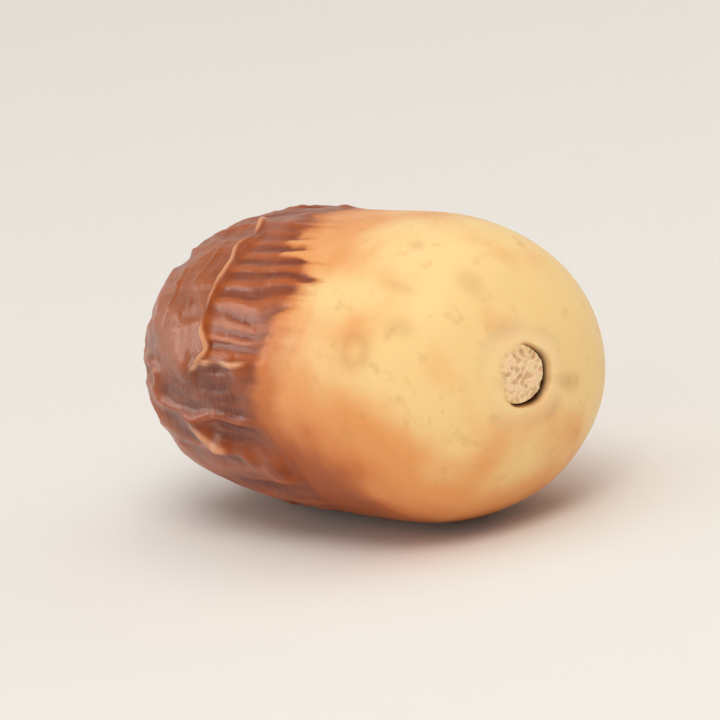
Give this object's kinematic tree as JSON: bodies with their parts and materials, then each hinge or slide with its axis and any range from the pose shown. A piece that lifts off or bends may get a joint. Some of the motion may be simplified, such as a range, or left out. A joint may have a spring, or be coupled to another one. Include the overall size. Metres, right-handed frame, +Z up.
{
  "type": "date fruit",
  "caption": "Whole ripe date lying on its side: pale smooth stem half with a stalk scar, brown wrinkled tip half, one closed body.",
  "frame": {"origin": "middle of the fruit's bounding box, at the surface it rests on", "axes": "+X along the fruit towards its stem end, +Z up from the small flat spot that it rests on"},
  "size_m": [0.0468, 0.0248, 0.0242],
  "materials": {
    "date_skin": "thin satin fruit skin, cream to peach at the stem half and red-brown, wrinkled and half clear at the tip half"
  },
  "bodies": {
    "root": {"date_fruit": "date_skin"}
  },
  "joints": []
}
